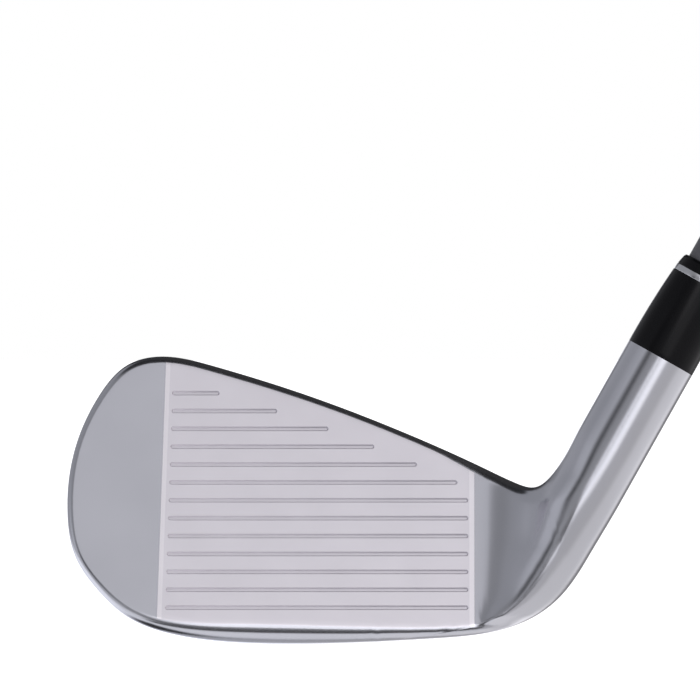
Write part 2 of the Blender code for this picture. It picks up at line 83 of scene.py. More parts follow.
def linear(hexColour):
    parts = [int(hexColour[i:i + 2], 16) / 255 for i in (1, 3, 5)]
    return (*[p / 12.92 if p <= 0.04045 else ((p + 0.055) / 1.055) ** 2.4 for p in parts], 1)


def newMaterial(name, **sockets):
    material = bpy.data.materials.new(name)
    material.use_nodes = True
    tree = material.node_tree
    shader = tree.nodes["Principled BSDF"]
    for socket, value in sockets.items():
        shader.inputs[socket.replace("_", " ")].default_value = value
    return material, tree, shader


def addNode(tree, kind, inputs, **settings):
    node = tree.nodes.new(kind)
    for key, value in settings.items():
        setattr(node, key, value)
    for key, value in inputs.items():
        if isinstance(value, bpy.types.NodeSocket):
            tree.links.new(value, node.inputs[key])
        else:
            node.inputs[key].default_value = value
    return node


def patternSpace(tree, toRow, periods):
    # Coordinates along the piece's own axes, counted in pattern periods given in millimetres.
    back = toRow.inverted()
    place = addNode(tree, "ShaderNodeTexCoord", {}).outputs["Object"]
    turned = addNode(tree, "ShaderNodeMapping", {
        "Vector": place, "Rotation": back.to_euler(), "Location": back.to_translation() * mm,
    })
    return addNode(tree, "ShaderNodeMapping", {
        "Vector": turned.outputs["Vector"], "Scale": [1 / (p * mm) for p in periods],
    }).outputs["Vector"]


def noise(tree, space, detail=2.0, roughness=0.5):
    return addNode(tree, "ShaderNodeTexNoise", {
        "Vector": space, "Scale": 1.0, "Detail": detail, "Roughness": roughness,
    }).outputs["Fac"]


def spread(tree, value, low, high, fromLow=0.3, fromHigh=0.7):
    return addNode(tree, "ShaderNodeMapRange", {
        "Value": value, "From Min": fromLow, "From Max": fromHigh, "To Min": low, "To Max": high,
    }).outputs["Result"]


def tint(tree, value, low, high):
    return addNode(tree, "ShaderNodeMix", {
        "Factor": value, 6: linear(low), 7: linear(high),
    }, data_type="RGBA").outputs[2]


def compute(tree, operation, first, second=0.0):
    return addNode(tree, "ShaderNodeMath", {0: first, 1: second}, operation=operation).outputs[0]


def bump(tree, shader, height, distance, strength):
    made = addNode(tree, "ShaderNodeBump", {
        "Height": height, "Distance": distance * mm, "Strength": strength,
    })
    tree.links.new(made.outputs["Normal"], shader.inputs["Normal"])


def grained(material, tree, shader, toRow, look):
    # A colour that drifts slowly, under a fine grain with its own length in each direction.
    cloud = noise(tree, patternSpace(tree, toRow, (look["cloud"],) * 3))
    grain = noise(tree, patternSpace(tree, toRow, look["grain"]), 3.0, 0.6)
    colour = tint(tree, spread(tree, cloud, 0, 1), *look["colours"])
    tree.links.new(colour, shader.inputs["Base Color"])
    low, high = look["roughness"]
    tree.links.new(spread(tree, grain, low, high), shader.inputs["Roughness"])
    bump(tree, shader, grain, look["depth"], look["strength"])
    return material


def metal(name, toRow, look):
    return grained(*newMaterial(name, Metallic=1.0), toRow, look)


def plastic(name, toRow, look):
    return grained(*newMaterial(name, Specular_IOR_Level=look.get("specular", 0.4)), toRow, look)


# In each look, cloud and grain are pattern sizes in millimetres, and depth is the grain's height.
# Nickel and chrome plate over a belt-polished forging: a soft, slightly blue-grey mirror.
satinChrome = metal("satin chrome", faceToRow, {
    "colours": ("#C7C8CE", "#CCCDD3"), "cloud": 14, "grain": (0.9, 0.12, 0.9),
    "roughness": (0.17, 0.21), "depth": 0.004, "strength": 0.10,
})
# Chrome over a bead-blasted face: even, pale and without a clear reflection.
blastedChrome = metal("blasted chrome", faceToRow, {
    "colours": ("#E4E1E6", "#E8E5EA"), "cloud": 9, "grain": (0.22, 0.22, 0.22),
    "roughness": (0.36, 0.44), "depth": 0.012, "strength": 0.25,
})
# The strip beside the masking tape's edge, where the blasting is lighter; its brighter base colour is a
# painted highlight.
highlightStripChrome = metal("strip with painted highlight", faceToRow, {
    "colours": ("#F0EDF1", "#F3F0F4"), "cloud": 9, "grain": (0.3, 0.3, 0.3),
    "roughness": (0.30, 0.36), "depth": 0.006, "strength": 0.15,
})
# Milled score lines, plated over, with cutter marks along them. Their base colour, a little darker than
# the face's, is painted shade in the grooves.
shadedGrooveChrome = metal("milled groove with painted shade", faceToRow, {
    "colours": ("#D6D3D8", "#DBD8DD"), "cloud": 9, "grain": (1.5, 0.08, 0.08),
    "roughness": (0.32, 0.40), "depth": 0.004, "strength": 0.15,
})
print("materials done")


# Shapes

def meshObject(name, bm):
    mesh = bpy.data.meshes.new(name)
    bm.to_mesh(mesh)
    bm.free()
    obj = bpy.data.objects.new(name, mesh)
    bpy.context.scene.collection.objects.link(obj)
    return obj


def placed(bm, toRow):
    # From the piece's own millimetres to the row's metres, with its faces outward.
    bm.transform(toMetres @ toRow)
    bmesh.ops.recalc_face_normals(bm, faces=bm.faces)
    return bm


def keepInside(mesh):
    # The finer curves may pass the solids' box by a few hundredths of a millimetre.
    for vertex in mesh.vertices:
        vertex.co = [min(max(c, low), high) for c, low, high in zip(vertex.co, *cadBox)]


def declare(obj, materials, node, sharp=30):
    keepInside(obj.data)
    for material in materials:
        obj.data.materials.append(material)
    obj.data.shade_smooth()
    obj.data.set_sharp_from_angle(angle=math.radians(sharp))
    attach(obj, "root")
    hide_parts(node)


def makePiece(name, bm, materials, node, toRow, sharp=30):
    declare(meshObject(name, placed(bm, toRow)), materials, node, sharp)


def edgesWithin(bm, verts):
    ring = set(verts)
    return [e for e in bm.edges if e.verts[0] in ring and e.verts[1] in ring]


def cutAcross(bm, faces, place, way):
    # New edges where a plane crosses these faces.
    edges, verts = [e for f in faces for e in f.edges], [v for f in faces for v in f.verts]
    parts = list(dict.fromkeys([*faces, *edges, *verts]))
    bmesh.ops.bisect_plane(bm, geom=parts, dist=1e-5, plane_co=place, plane_no=way)


def smooth(low, high, value):
    share = np.clip((value - low) / (high - low), 0, 1)
    return share * share * (3 - 2 * share)


def unit(vector):
    return vector / np.linalg.norm(vector)


# The head's outline seen from the front, as X and Z in millimetres. Both lines start at the toe.
head = {
    "toe": (-39.8, 26.0),
    "topLine": [(-38.3, 36.6), (-34.0, 46.0), (-28.5, 51.85), (-22.2, 53.3), (-13.3, 51.7),
                (4.4, 46.2), (22.2, 39.4), (37.8, 32.45), (43.4, 29.85), (46.8, 29.1), (50.2, 31.7)],
    "soleLine": [(-38.3, 16.2), (-34.2, 10.1), (-28.5, 4.95), (-20.0, 1.75), (-10.5, 0.4),
                 (0, 0), (14, 0.25), (28, 1.0), (37.8, 2.0), (45.0, 4.15), (51.2, 8.4), (57.6, 17.6)],
    "topMeets": 43.4,  # where the hosel's straight sides begin, along its axis
    "soleMeets": 33.3,
    "pivot": (38.0, 50.0),  # sections of the heel swing round this point
    "flatEnd": 35.6,  # of the face, where the flank begins
    "ridgeAhead": 2.05,  # the flank's ridge, from the hosel's front line
    "ridgeSwing": (18, 31),  # the heights between which the ridge comes back to that line
    "ridgeTuck": (5.0, 4.7, 2.6),  # how far it turns in at the sole: reach, height and fade
    "edgeBehind": 1.8,  # from the hosel's front back to the leading edge
    "edgeBelow": 27.0,  # the height under which the ridge falls back to that edge
    "toeRound": 1.3,
    "topRound": 2.3,
    "soleRound": 3.0,
    "heelSoleRound": 1.6,
    "topBackRound": 1.5,
    "trailingRound": 2.2,
    "topThick": 5.6,
    "soleThick": 16.0,
    "restBehind": 3.0,  # from the leading edge's round to the line that rests on the ground
    "camber": 0.009,
    "around": 176,  # points in a section
    "sheetSteps": 320,
    "toeSteps": 56,  # sections in each stretch of the head
    "bladeSteps": 56,
    "fanSteps": 64,
    "hoselSteps": 8,
}


def spline(points, startWay, endWay, step=0.3):
    # A cubic spline through the points, leaving and arriving the given ways.
    points = np.array(points, float)
    count = len(points)
    chord = np.linalg.norm(np.diff(points, axis=0), axis=1)
    rows, right = np.zeros((count, count)), np.zeros((count, 2))
    rows[0, 0] = rows[-1, -1] = 1
    right[0], right[-1] = unit(np.array(startWay, float)), unit(np.array(endWay, float))
    for i in range(1, count - 1):
        before, after = chord[i - 1], chord[i]
        rows[i, i - 1:i + 2] = after, 2 * (before + after), before
        right[i] = 3 * (before / after * (points[i + 1] - points[i])
                        + after / before * (points[i] - points[i - 1]))
    slopes = np.linalg.solve(rows, right)
    line = []
    for i, length in enumerate(chord):
        for share in np.arange(0, 1, step / length):
            a, b = 2 * share**3 - 3 * share**2 + 1, share**3 - 2 * share**2 + share
            c, d = 3 * share**2 - 2 * share**3, share**3 - share**2
            line.append(a * points[i] + b * length * slopes[i]
                        + c * points[i + 1] + d * length * slopes[i + 1])
    return np.array(line + [points[-1]])


def outlineEdge(points, startWay, sideFoot, meets):
    curve = spline([head["toe"], *points, sideFoot + meets * axis], startWay, axis)
    return np.vstack([curve, sideFoot + (club["hoselTop"] + 1) * axis])


hoselSide = club["hoselR"] * across
innerLine = outlineEdge(head["topLine"], (0, 1), foot - hoselSide, head["topMeets"])
outerLine = outlineEdge(head["soleLine"], (0, -1), foot + hoselSide, head["soleMeets"])


def distanceTo(line, points):
    # Distance from each point to the line, and how level the line runs at its nearest place.
    start, along = line[:-1], np.diff(line, axis=0)
    offset = points[:, None, :] - start[None]
    share = np.clip((offset * along).sum(2) / (along * along).sum(1), 0, 1)
    distance = np.linalg.norm(offset - share[..., None] * along, axis=2)
    level = along[:, 0] / np.linalg.norm(along, axis=1)
    return distance.min(1), level[distance.argmin(1)]


def crossing(line, pivot, way):
    # Where a ray from the pivot meets the line.
    normal = np.array((-way[1], way[0]))
    side = (line - pivot) @ normal
    for i in np.nonzero(side[:-1] * side[1:] <= 0)[0]:
        if side[i] != side[i + 1]:
            point = line[i] + (line[i + 1] - line[i]) * side[i] / (side[i] - side[i + 1])
            if (point - pivot) @ way > 0:
                return point
    raise ValueError("the ray misses the outline")


def rounding(distance, radius, slope=0.0):
    # How far a sheet that falls back by slope drops near an edge with this radius.
    tilt = np.arctan(slope)
    reach = radius * (1 + np.sin(tilt))
    inside = np.clip(distance, 0, reach)
    arc = np.sqrt(np.maximum(radius**2 - (radius - inside) ** 2, 0))
    return radius * np.cos(tilt) + (reach - inside) * slope - arc


def stations():
    # The two ends and the share of the heel's turn of every section, from the toe to the hosel's top.
    found = []
    toeX, middleX, bendX = head["toe"][0], -22.0, head["pivot"][0]
    steps = head["toeSteps"]
    near = [toeX + 0.01 + (middleX - toeX) * (k / steps) ** 2 for k in range(steps)]
    far = np.linspace(middleX, bendX, head["bladeSteps"], endpoint=False)
    down, pivot = np.array((0.0, -1.0)), np.array(head["pivot"])
    for x in [*near, *far]:
        above = np.array((x, head["toe"][1]))
        found.append((crossing(innerLine, above, -down), crossing(outerLine, above, down), 0.0))
    for share in np.linspace(0, 1, head["fanSteps"]):
        way = np.array((math.sin(share * lie), -math.cos(share * lie)))
        found.append((crossing(innerLine, pivot, way), crossing(outerLine, pivot, way), share))
    reach = (pivot - foot) @ axis
    for along in np.linspace(reach, club["hoselTop"], head["hoselSteps"] + 1)[1:]:
        centre = foot + along * axis
        found.append((centre - hoselSide, centre + hoselSide, 1.0))
    return found


def edgeRadii(x, share):
    # Front radii at the top line and the sole, then the back ones. All grow into the hosel's own.
    # The ramps in share are along the heel's turn, and those in x run from the toe to the heel.
    hosel = club["hoselR"]
    crotch = smooth(0.0, 0.75, share)
    heelStart = smooth(-0.12, 0.42, 0.0)
    heel = (smooth(-0.12, 0.42, share) - heelStart) / (1 - heelStart)
    toe = head["toeRound"]
    sole = toe + (head["soleRound"] - toe) * smooth(-36, -4, x)
    sole = sole + (head["heelSoleRound"] - head["soleRound"]) * smooth(-2, 38, x)
    top = toe + (head["topRound"] - toe) * smooth(-39, -26, x)
    top = top - 0.35 * smooth(-15, 22, x) + 1.2 * smooth(27, 38, x)
    return (top + (hosel - top) * crotch, sole + (hosel - sole) * heel,
            head["topBackRound"] + (hosel - head["topBackRound"]) * crotch,
            head["trailingRound"] + (hosel - head["trailingRound"]) * heel)


hoselFront = club["axisY"] - club["hoselR"]


def facePlane(z):
    return club["faceY"] + z * math.tan(loft)


def frontSheet(points):
    # The face plane, which turns forward into the hosel's front through a hollow arc and a round one.
    x, z = points[:, 0], points[:, 1]
    plane = facePlane(z)
    ridgeX = foot[0] + z * axis[0] / axis[1] + head["ridgeAhead"] * (1 - smooth(*head["ridgeSwing"], z))
    reach, level, fade = head["ridgeTuck"]
    ridgeX = ridgeX - reach * np.exp((level - z) / fade)
    ridgeY = hoselFront + head["edgeBehind"] * np.clip(1 - z / head["edgeBelow"], 0, 1) ** 2
    # The flank's width and depth both run out where its ridge meets the leading edge.
    wide = np.maximum((ridgeX - head["flatEnd"]) * across[0], 0.3)
    deep = np.maximum((plane - ridgeY) * smooth(0.0, 5.0, wide), 0.02)
    both = (wide**2 + deep**2) / (2 * deep)  # the two arcs' radii together
    outer = np.minimum(club["hoselR"], 0.5 * both)
    hollow = both - outer
    toRidge = np.clip((ridgeX - x) * across[0], 0, wide)
    rounded = outer - np.sqrt(np.maximum(outer**2 - toRidge**2, 0))
    hollowed = deep - hollow + np.sqrt(np.maximum(hollow**2 - (wide - toRidge) ** 2, 0))
    return plane - deep + np.where(toRidge < outer * wide / both, rounded, hollowed)


def dropped(sheet, drop, turn):
    # The front with its edges rounded off: the blade's drop is added, and the hosel is round already.
    added = sheet + drop
    return added + (np.maximum(sheet, hoselFront + drop) - added) * turn


def room(sheet, back, frontRadius, backRadius, turn):
    # The share of both radii that an edge has room for.
    shares = np.linspace(1, 0, 2001)
    gap = back - shares * backRadius - dropped(sheet, shares * frontRadius, turn)
    return shares[np.argmax(gap >= -1e-6)]


def backSheet(points, share):
    # The back before the cavity: thin at the top line, thick behind the sole.
    x, z = points[:, 0], points[:, 1]
    hoselBack = club["axisY"] + club["hoselR"]
    sole = head["soleThick"] - 5.0 * smooth(4, 42, -x)
    thickness = head["topThick"] + (sole - head["topThick"]) * (1 - smooth(3, 27, z))
    blade = facePlane(z) + thickness / math.cos(loft)
    return hoselBack + (blade - hoselBack) * (1 - smooth(0.0, 0.95, share))


def resampled(line, count):
    # count points along a line without its last, closer together where it bends.
    apart = np.linalg.norm(np.diff(line, axis=0), axis=1) > 0.01
    line = line[np.concatenate([[True], apart])]
    steps = np.diff(line, axis=0)
    length = np.linalg.norm(steps, axis=1)
    ways = steps / length[:, None]
    bend = np.arccos(np.clip((ways[:-1] * ways[1:]).sum(1), -1, 1))
    weight = length / length.sum()
    weight[:-1] += bend / (2 * math.pi)
    weight[1:] += bend / (2 * math.pi)
    reach = np.concatenate([[0], np.cumsum(weight)])
    wanted = np.arange(count) / count * reach[-1]
    return np.column_stack([np.interp(wanted, reach, line[:, k]) for k in range(3)])


def section(inner, outer, share):
    # A closed outline from the inner end down the front, under, and up the back.
    shares = (1 - np.cos(np.linspace(0, math.pi, head["sheetSteps"]))) / 2
    points = inner + shares[:, None] * (outer - inner)
    toInner, topLevel = distanceTo(innerLine, points)
    toOuter, soleLevel = distanceTo(outerLine, points)
    toInner[0] = toOuter[-1] = 0
    turn = smooth(0.1, 1.0, share)
    slope = math.tan(loft) * (1 - turn)
    front, back = frontSheet(points), backSheet(points, share)
    frontIn, frontOut, backIn, backOut = edgeRadii(inner[0], share)
    roomIn = room(front[0], back[0], frontIn, backIn, turn)
    roomOut = room(front[-1], back[-1], frontOut, backOut, turn)
    drop = np.maximum(rounding(toInner, frontIn * roomIn, -topLevel * slope),
                      rounding(toOuter, frontOut * roomOut, soleLevel * slope))
    front = dropped(front, drop, turn)
    back = back - np.maximum(rounding(toInner, backIn * roomIn),
                             rounding(toOuter, backOut * roomOut))
    front = np.column_stack([points[:, 0], front, points[:, 1]])
    back = np.column_stack([points[:, 0], back, points[:, 1]])[::-1]
    under, over = (front[-1] + back[0]) / 2, (back[-1] + front[0]) / 2
    blade = 1 - smooth(0.1, 0.8, share)
    soleStart = front[-1][1]
    halves = []
    # Square turns the top line at right angles to the face. The camber lifts the sole off its rest line.
    for half, drift in ((np.vstack([over, front, under]), math.tan(loft)),
                        (np.vstack([under, back, over]), 0)):
        y, z = half[:, 1], half[:, 2]
        behind = np.maximum(y - front[0][1], 0)
        square = blade * smooth(8, 26, z) * behind * math.tan(loft)
        fromRest = np.maximum(y, soleStart) - (soleStart + head["restBehind"])
        lift = head["camber"] * blade * fromRest**2 * np.exp(-np.maximum(z - outer[1], 0) / 6)
        shaped = np.column_stack([half[:, 0], y + drift * lift, z + lift - square])
        halves.append(resampled(shaped, head["around"] // 2))
    return np.vstack(halves)


def wrapped(rings):
    # A grid laid over the rings and closed along its seam.
    bm = bmesh.new()
    columns = len(rings[0])
    bmesh.ops.create_grid(bm, x_segments=columns, y_segments=len(rings) - 1, size=1)
    ordered = sorted(bm.verts, key=lambda v: (round(v.co.y, 6), round(v.co.x, 6)))
    for r, ring in enumerate(rings):
        for c in range(columns + 1):
            ordered[r * (columns + 1) + c].co = ring[c % columns]
    bmesh.ops.remove_doubles(bm, verts=bm.verts, dist=1e-4)
    return bm


def lofted(rings):
    bm = wrapped(rings)
    bmesh.ops.holes_fill(bm, edges=[e for e in bm.edges if e.is_boundary], sides=0)
    bmesh.ops.recalc_face_normals(bm, faces=bm.faces)
    return bm


def roundedOutline(corners, radius, inset=0.0, arcSteps=9):
    # The polygon moved inwards by inset, with its corners rounded.
    points = [Vector(c) for c in corners]
    count = len(points)
    area = sum(points[i - 1].cross(points[i]) for i in range(count))
    inward = 1 if area > 0 else -1
    lines = []
    for i in range(count):
        way = (points[(i + 1) % count] - points[i]).normalized()
        lines.append((points[i] + Vector((-way.y, way.x)) * inward * inset, way))
    moved = []
    for i in range(count):
        (p, u), (q, v) = lines[i - 1], lines[i]
        moved.append(p + u * ((q - p).cross(v) / u.cross(v)))
    outline = []
    for i in range(count):
        before, corner, after = moved[i - 1], moved[i], moved[(i + 1) % count]
        toBefore, toAfter = (before - corner).normalized(), (after - corner).normalized()
        reach = min(max(radius - inset, 0.5) / math.tan(toBefore.angle(toAfter) / 2),
                    0.45 * (before - corner).length, 0.45 * (after - corner).length)
        start, end = corner + toBefore * reach, corner + toAfter * reach
        for k in range(arcSteps + 1):
            share = k / arcSteps
            outline.append(start.lerp(corner, share).lerp(corner.lerp(end, share), share))
    return outline


def stacked(outlines, depths):
    # A solid through the same outline at several depths, bridged one to the next.
    bm = bmesh.new()
    loops = []
    last = len(outlines) - 1
    for k, (outline, depth) in enumerate(zip(outlines, depths)):
        made = bmesh.ops.create_circle(bm, cap_ends=k in (0, last), segments=len(outline), radius=1)
        for vert, place in zip(made["verts"], outline):
            vert.co = (place[0], place[1], depth)
        loops.append(edgesWithin(bm, made["verts"]))
    for near, far in zip(loops, loops[1:]):
        bmesh.ops.bridge_loops(bm, edges=near + far)
    bmesh.ops.recalc_face_normals(bm, faces=bm.faces)
    return bm


def carved(obj, cutters):
    # The object's mesh after cutting each cutter from it. The cutters are then thrown away.
    for cutter in cutters:
        boolean = obj.modifiers.new("cut", "BOOLEAN")
        boolean.operation = "DIFFERENCE"
        boolean.solver = "EXACT"
        boolean.object = cutter
    evaluated = obj.evaluated_get(bpy.context.evaluated_depsgraph_get())
    mesh = bpy.data.meshes.new_from_object(evaluated)
    obj.modifiers.clear()
    obj.data = mesh
    for cutter in cutters:
        bpy.data.objects.remove(cutter)


grooves = {
    "count": 13,
    "pitch": 3.54,
    "lowest": 7.35,  # up the face
    "leftLow": -21.6,
    "leftHigh": -20.4,
    "right": 34.5,
    "rightShort": [32.5, 25.0, 17.1, 8.6, -0.9, -11.6],  # of the upper ones, upwards
    # half the width at each depth, from above the face to the groove's floor
    "profile": [(0.62, 0.15), (0.47, 0.0), (0.43, -0.03), (0.37, -0.13), (0.30, -0.25), (0.21, -0.33)],
    "roundSteps": 26,
    "endR": 0.45,
}


def grooveSpan(i):
    # Height up the face, left end and right end of a score line.
    share = i / (grooves["count"] - 1)
    left = grooves["leftLow"] + (grooves["leftHigh"] - grooves["leftLow"]) * share
    short = i - (grooves["count"] - len(grooves["rightShort"]))
    right = grooves["right"] if short < 0 else grooves["rightShort"][short]
    return grooves["lowest"] + i * grooves["pitch"], left, right


def grooveCutter():
    whole = bmesh.new()
    for i in range(grooves["count"]):
        up, left, right = grooveSpan(i)
        outlines, depths = [], []
        for half, depth in grooves["profile"]:
            outline = []
            for k in range(grooves["roundSteps"]):
                angle = 2 * math.pi * k / grooves["roundSteps"]
                end = right - grooves["endR"] if math.cos(angle) > 0 else left + grooves["endR"]
                outline.append((end + half * math.cos(angle), up + half * math.sin(angle)))
            outlines.append(outline)
            depths.append(depth)
        bar = stacked(outlines, depths)
        spare = bpy.data.meshes.new("spare")
        bar.to_mesh(spare)
        bar.free()
        whole.from_mesh(spare)
        bpy.data.meshes.remove(spare)
    return meshObject("grooveBars", placed(whole, faceToRow))


cavity = {
    "corners": [(-33.0, 17.6), (-34.8, 28.0), (-33.0, 40.0), (-27.0, 50.6), (-16.5, 51.7),
                (20.0, 38.6), (31.5, 32.6), (31.5, 17.6)],
    "cornerR": 4.5,
    "wall": 3.1,  # of steel behind the face
    "floorRound": 0.4,
    "damper": 1.2,
    "badge": 0.9,
}
# The toe weight's plug. Deep and back are its ends, behind the face.
weight = {"x": -19.0, "up": 13.0, "r": 3.1, "deep": 5.5, "back": 12.4}
weightToRow = faceToRow @ Matrix.Translation((weight["x"], weight["up"], 0))
# Places along the axis, from the ground, and bores.
shaft = {
    "tip": club["hoselTop"] - 31.5,
    "tipParallel": 110.0,
    "buttParallel": 760.0,
    "tipBore": 2.7,
    "buttBore": 6.35,
    "flange": 1.2,
}
# The swing weight's flange sits under the tip, with a little room below it.
boreBottom = shaft["tip"] - shaft["flange"] - 2 * club["seam"] - 0.3


def cavityCutter():
    r = cavity["floorRound"]
    levels = [(-cavity["wall"], r)]
    for k in range(1, 5):
        angle = k / 4 * math.pi / 2
        levels.append((-cavity["wall"] - r * (1 - math.cos(angle)), r * (1 - math.sin(angle))))
    levels.append((-30.0, 0.0))
    outlines = [roundedOutline(cavity["corners"], cavity["cornerR"], inset) for _, inset in levels]
    solid = stacked(outlines, [depth for depth, _ in levels])
    return meshObject("cavityBlock", placed(solid, faceToRow))


def roundBar(radius, low, high, segments=64):
    bm = bmesh.new()
    bmesh.ops.create_cone(bm, cap_ends=True, segments=segments, radius1=radius, radius2=radius,
                          depth=high - low, matrix=Matrix.Translation((0, 0, (low + high) / 2)))
    return bm


zones = {
    "leftTop": (-21.5, 52.6),  # the blasted zone's left edge, as X and Z
    "leftBottom": (-23.1, 4.5),
    "strip": 0.8,
    "right": 35.6,
    "rightStrip": 0.9,
    "deep": 0.04,  # how far back the zones reach over the rounded edges
    "grooveFloor": -0.4,  # just past the deepest part of a groove
}


def zoneCuts(bm):
    # Clean edges along the zones' borders, only through the front.
    top, bottom = np.array(zones["leftTop"]), np.array(zones["leftBottom"])
    way = unit(top - bottom)
    side = Vector((way[1], 0, -way[0]))
    start = Vector((bottom[0], 0, bottom[1]))
    normal = faceToRow.to_3x3() @ Vector((0, 0, 1))
    onFace = faceToRow.to_translation()
    shift = side * zones["strip"]
    planes = [
        (onFace - normal * zones["deep"], normal),
        (start, side),
        (start + shift, side),
        (Vector((zones["right"] - zones["rightStrip"], 0, 0)), Vector((1, 0, 0))),
        (Vector((zones["right"], 0, 0)), Vector((1, 0, 0))),
    ]
    for place, way in planes:
        near = [f for f in bm.faces if f.normal.dot(normal) > 0.3
                and (f.calc_center_median() - onFace).dot(normal) > -2.0
                and f.calc_center_median().x < 37]
        cutAcross(bm, near, place, way)


def paintZones(mesh):
    # Material of each face from where its centre lies: 0 satin, 1 blasted, 2 strip with its painted
    # highlight, 3 groove with its painted shade.
    toFace = faceToRow.inverted()
    top, bottom = zones["leftTop"], zones["leftBottom"]
    lean = (top[0] - bottom[0]) / (top[1] - bottom[1])
    normal = faceToRow.to_3x3() @ Vector((0, 0, 1))
    for polygon in mesh.polygons:
        centre = polygon.center / mm
        _, upFace, depth = toFace @ centre
        fromLeft = centre.x - (bottom[0] + lean * (centre.z - bottom[1]))
        outside = fromLeft <= 0 or centre.x > zones["right"]
        if outside or not zones["grooveFloor"] < depth < 0.05 or polygon.normal.dot(normal) < 0.2:
            continue
        nearest = round((upFace - grooves["lowest"]) / grooves["pitch"])
        up, left, right = grooveSpan(min(max(nearest, 0), grooves["count"] - 1))
        onLine = abs(upFace - up) < 0.6 and left - 0.1 < centre.x < right + 0.1
        if onLine and depth < -0.01:
            polygon.material_index = 3
        elif depth < -zones["deep"]:
            continue
        elif fromLeft < zones["strip"] or centre.x > zones["right"] - zones["rightStrip"]:
            polygon.material_index = 2
        else:
            polygon.material_index = 1


def buildHead():
    bm = lofted([section(*station) for station in stations()])
    zoneCuts(bm)
    bm.transform(toMetres)
    obj = meshObject("ironHead", bm)
    # The open end of each cutter runs out past the steel.
    pocket = roundBar(weight["r"] + club["glue"], -30, -weight["deep"])
    bore = roundBar(club["tipR"] + club["glue"], boreBottom, club["hoselTop"] + 5)
    carved(obj, [
        meshObject("hoselBore", placed(bore, shaftToRow)),
        cavityCutter(),
        meshObject("weightPocket", placed(pocket, weightToRow)),
        grooveCutter(),
    ])
    declare(obj, [satinChrome, blastedChrome, highlightStripChrome, shadedGrooveChrome], "head")
    paintZones(obj.data)
    print("head done:", len(obj.data.polygons), "faces")


buildHead()


# Toe weight: sintered tungsten, faced on a lathe and left bare.
tungsten = metal("turned tungsten", weightToRow, {
    "colours": ("#8A8B8E", "#96979A"), "cloud": 3, "grain": (0.5, 0.5, 0.5),
    "roughness": (0.28, 0.36), "depth": 0.004, "strength": 0.2,
})


def turned(profile, segments=112):
    # A profile of radius and place along the axis, spun round it. Off the axis it closes on itself.
    bm = bmesh.new()
    verts = [bm.verts.new((radius, 0, along)) for radius, along in profile]
    onAxis = profile[0][0] == 0
    edges = [bm.edges.new(pair) for pair in zip(verts, verts[1:])]
    if not onAxis:
        edges.append(bm.edges.new((verts[-1], verts[0])))
    bmesh.ops.spin(bm, geom=verts + edges, axis=(0, 0, 1), cent=(0, 0, 0), angle=2 * math.pi,
                   steps=segments, use_merge=True)
    bmesh.ops.remove_doubles(bm, verts=bm.verts, dist=1e-5)
    return bm


def softened(corners, steps=5):
    # A profile of (radius, along) or (radius, along, fillet): corners with a fillet get an arc.
    count = len(corners)
    line = []
    for i, corner in enumerate(corners):
        here = Vector(corner[:2])
        if len(corner) < 3:
            line.append(tuple(here))
            continue
        before, after = Vector(corners[i - 1][:2]), Vector(corners[(i + 1) % count][:2])
        toBefore, toAfter = (before - here).normalized(), (after - here).normalized()
        half = toBefore.angle(toAfter) / 2
        reach = corner[2] / math.tan(half)
        middle = here + (toBefore + toAfter).normalized() * corner[2] / math.sin(half)
        start = (here + toBefore * reach - middle).normalized()
        end = (here + toAfter * reach - middle).normalized()
        for k in range(steps + 1):
            line.append(tuple(middle + start.slerp(end, k / steps) * corner[2]))
    return line


faced = softened([
    (0, -weight["deep"] - club["seam"]), (weight["r"], -weight["deep"] - club["seam"]),
    (weight["r"], -weight["back"], 0.35), (2.0, -weight["back"]), (1.85, -weight["back"] + 0.12),
    (1.1, -weight["back"] + 0.12), (0.95, -weight["back"]), (0, -weight["back"]),
])
makePiece("toeWeight", turned(faced, 72), [tungsten], "toe_weight", weightToRow)


# The pad behind the face: moulded elastomer, dull and slightly grainy, with softly rounded edges.
elastomer = plastic("moulded elastomer", faceToRow, {
    "colours": ("#19191B", "#1F1F21"), "cloud": 6, "grain": (0.5, 0.5, 0.5),
    "roughness": (0.62, 0.72), "depth": 0.02, "strength": 0.3,
})
# Badge: rolled aluminium sheet, brushed lengthways and anodised dark grey.
anodised = metal("anodised aluminium", faceToRow, {
    "colours": ("#63656B", "#6B6D73"), "cloud": 12, "grain": (6.0, 0.12, 0.5),
    "roughness": (0.26, 0.36), "depth": 0.006, "strength": 0.3,
})
# Its sunken field is blasted before anodising, so it stays darker and flatter.
anodisedField = metal("blasted anodised field", faceToRow, {
    "colours": ("#2B2C30", "#303135"), "cloud": 12, "grain": (0.25, 0.25, 0.25),
    "roughness": (0.45, 0.55), "depth": 0.012, "strength": 0.3,
})


def plate(corners, radius, inset, near, far, edge):
    # A flat piece with rounded edges, between two depths behind the face.
    levels = [(near, edge), (near + 0.3 * edge, 0.3 * edge), (near + edge, 0.0), (far - edge, 0.0),
              (far - 0.3 * edge, 0.3 * edge), (far, edge)]
    outlines = [roundedOutline(corners, radius, inset + more) for _, more in levels]
    return stacked(outlines, [-depth for depth, _ in levels])


damperNear = cavity["wall"] + club["seam"]
damperFar = damperNear + cavity["damper"]
badgeNear = damperFar + club["seam"]
badgeFar = badgeNear + cavity["badge"]
damper = plate(cavity["corners"], cavity["cornerR"], 0.5, damperNear, damperFar, 0.25)
makePiece("cavityDamper", damper, [elastomer], "cavity_damper", faceToRow)


badge = {
    "inset": 1.6,  # from the cavity's wall
    "edge": 0.12,
    "rim": 1.5,
    "sunken": 0.25,
    "ribs": 7,
    "ribPitch": 3.2,
    "ribWide": 1.0,
    "firstRib": (-24.0, 34.0),
    "slant": -0.45,
}


